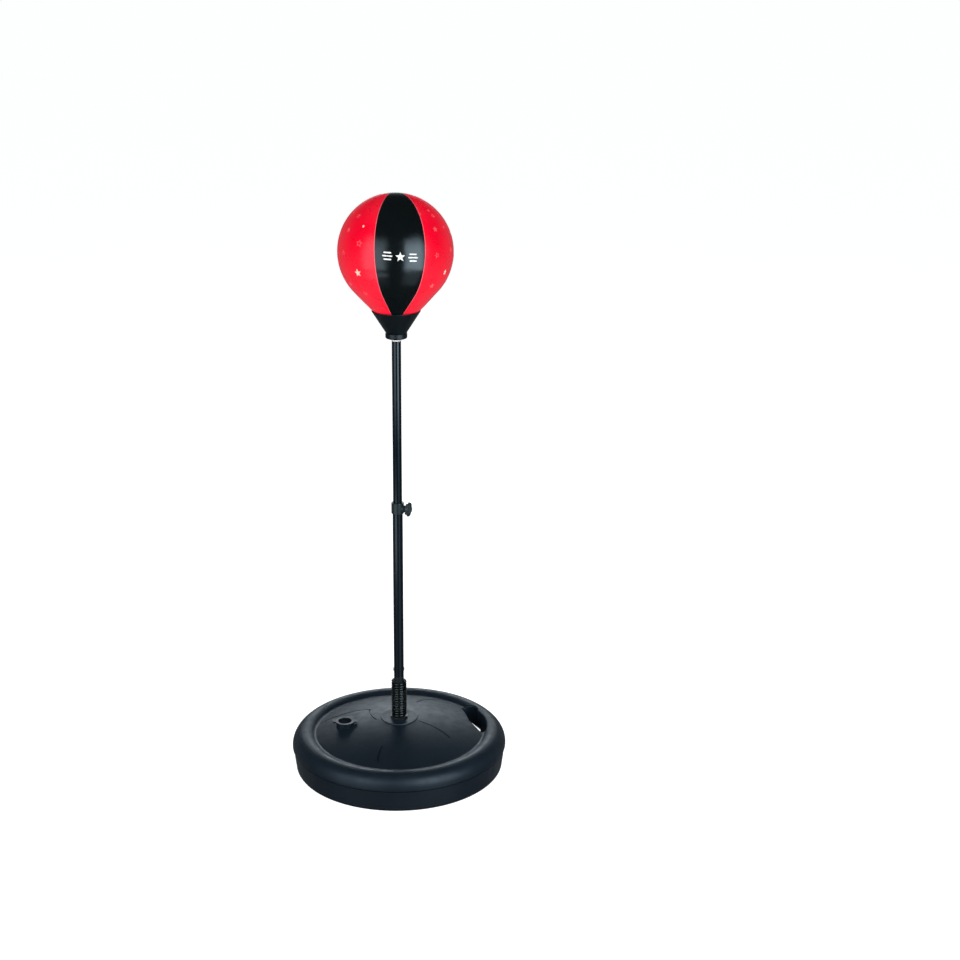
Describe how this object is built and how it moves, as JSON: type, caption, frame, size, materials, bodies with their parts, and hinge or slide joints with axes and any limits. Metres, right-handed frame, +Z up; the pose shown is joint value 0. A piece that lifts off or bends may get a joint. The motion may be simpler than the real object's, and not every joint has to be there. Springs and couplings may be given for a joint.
{
  "type": "punching ball stand",
  "caption": "Free-standing punching ball: an inflatable ball in a cup on a telescopic pole that bends on a coil spring above a round fillable base.",
  "frame": {"origin": "centre of the base's foot ring, on the floor", "axes": "+Z up along the pole, -Y to the front, +X to the right where the carrying slot and the clamp knob are"},
  "size_m": [0.3928, 0.3928, 1.0501],
  "materials": {
    "base_plastic": "blow-moulded black polyethylene, fine satin grain",
    "plug_plastic": "black polyethylene, satin",
    "spring_steel": "black-coated spring steel",
    "zinc_steel": "zinc-plated steel",
    "seat_steel": "black-coated steel",
    "neck_plastic": "black nylon",
    "tube_gloss": "gloss black powder coat on steel tube",
    "tube_satin": "satin black powder coat on steel tube",
    "clamp_plastic": "black moulded plastic, satin",
    "knob_plastic": "black moulded plastic, satin",
    "pale_plastic": "pale grey nylon",
    "cup_plastic": "black moulded plastic, satin",
    "ball_red": "glossy red vinyl with pale printed stars",
    "ball_black": "glossy black vinyl",
    "piping_vinyl": "light red welded seam",
    "bladder_rubber": "black rubber",
    "valve_rubber": "black rubber"
  },
  "bodies": {
    "base": {"base_shell": "base_plastic", "base_nut": "zinc_steel", "base_washer": "zinc_steel", "spring_seat": "seat_steel", "spring_foot_coils": "spring_steel"},
    "plug": {"filler_plug": "plug_plastic"},
    "spring_1": {"spring_coils_1": "spring_steel"},
    "spring_2": {"spring_coils_2": "spring_steel"},
    "spring_3": {"spring_coils_3": "spring_steel"},
    "lower_pole": {"spring_head_coils": "spring_steel", "spring_top_plug": "neck_plastic", "lower_tube": "tube_gloss", "tube_rivet": "zinc_steel", "clamp_collar": "clamp_plastic", "clamp_nut": "zinc_steel"},
    "pad": {"clamp_pad": "pale_plastic"},
    "knob": {"clamp_knob": "knob_plastic", "clamp_screw": "zinc_steel"},
    "glide": {"glide_bush": "pale_plastic"},
    "upper_pole": {"upper_tube": "tube_satin", "tube_cap": "pale_plastic", "ball_cup": "cup_plastic", "cup_lock_ring": "cup_plastic", "ball_stem": "neck_plastic", "ball_bladder": "bladder_rubber", "ball_top_patch": "ball_black", "ball_foot_patch": "ball_black", "ball_panel_black_1": "ball_black", "ball_panel_red_1": "ball_red", "ball_panel_black_2": "ball_black", "ball_panel_red_2": "ball_red", "ball_panel_black_3": "ball_black", "ball_panel_red_3": "ball_red", "ball_piping": "piping_vinyl", "ball_valve": "valve_rubber"}
  },
  "joints": [
    {"name": "filler_plug_lift", "type": "slide", "parent": "base", "child": "plug", "axis": [0, 0, 1], "range_m": [0, 0.06]},
    {"name": "side_bend_lower", "type": "hinge", "parent": "base", "child": "spring_1", "pos_m": [0, 0, 0.1162], "axis": [0, 1, 0], "range_deg": [-25.5, 25.5], "stiffness_Nm_per_rad": 28, "deforming": ["spring_foot_coils"]},
    {"name": "fore_bend_lower", "type": "hinge", "parent": "spring_1", "child": "spring_2", "pos_m": [0, 0, 0.1258], "axis": [1, 0, 0], "range_deg": [-25.5, 25.5], "stiffness_Nm_per_rad": 28, "deforming": ["spring_coils_1"]},
    {"name": "fore_bend_upper", "type": "hinge", "parent": "spring_2", "child": "spring_3", "pos_m": [0, 0, 0.1354], "axis": [1, 0, 0], "range_deg": [-25.5, 25.5], "stiffness_Nm_per_rad": 28, "deforming": ["spring_coils_2"]},
    {"name": "side_bend_upper", "type": "hinge", "parent": "spring_3", "child": "lower_pole", "pos_m": [0, 0, 0.145], "axis": [0, 1, 0], "range_deg": [-25.5, 25.5], "stiffness_Nm_per_rad": 28, "deforming": ["spring_coils_3", "spring_head_coils"]},
    {"name": "height_adjust", "type": "slide", "parent": "lower_pole", "child": "glide", "axis": [0, 0, 1], "range_m": [-0.225, 0]},
    {"name": "pole_twist", "type": "hinge", "parent": "glide", "child": "upper_pole", "pos_m": [0, 0, 0.44], "axis": [0, 0, 1], "continuous": true},
    {"name": "clamp_pad_travel", "type": "slide", "parent": "lower_pole", "child": "pad", "axis": [0.9063, -0.4226, 0], "range_m": [0, 0.00125]},
    {"name": "knob_turn", "type": "hinge", "parent": "pad", "child": "knob", "pos_m": [0.01813, -0.00845, 0.4966], "axis": [0.9063, -0.4226, 0], "range_deg": [0, 540]}
  ],
  "couplings": [
    {"joint": "side_bend_upper", "follows": "side_bend_lower", "ratio": 1},
    {"joint": "fore_bend_upper", "follows": "fore_bend_lower", "ratio": 1},
    {"joint": "clamp_pad_travel", "follows": "knob_turn", "m_per_rad": 0.00012732}
  ]
}
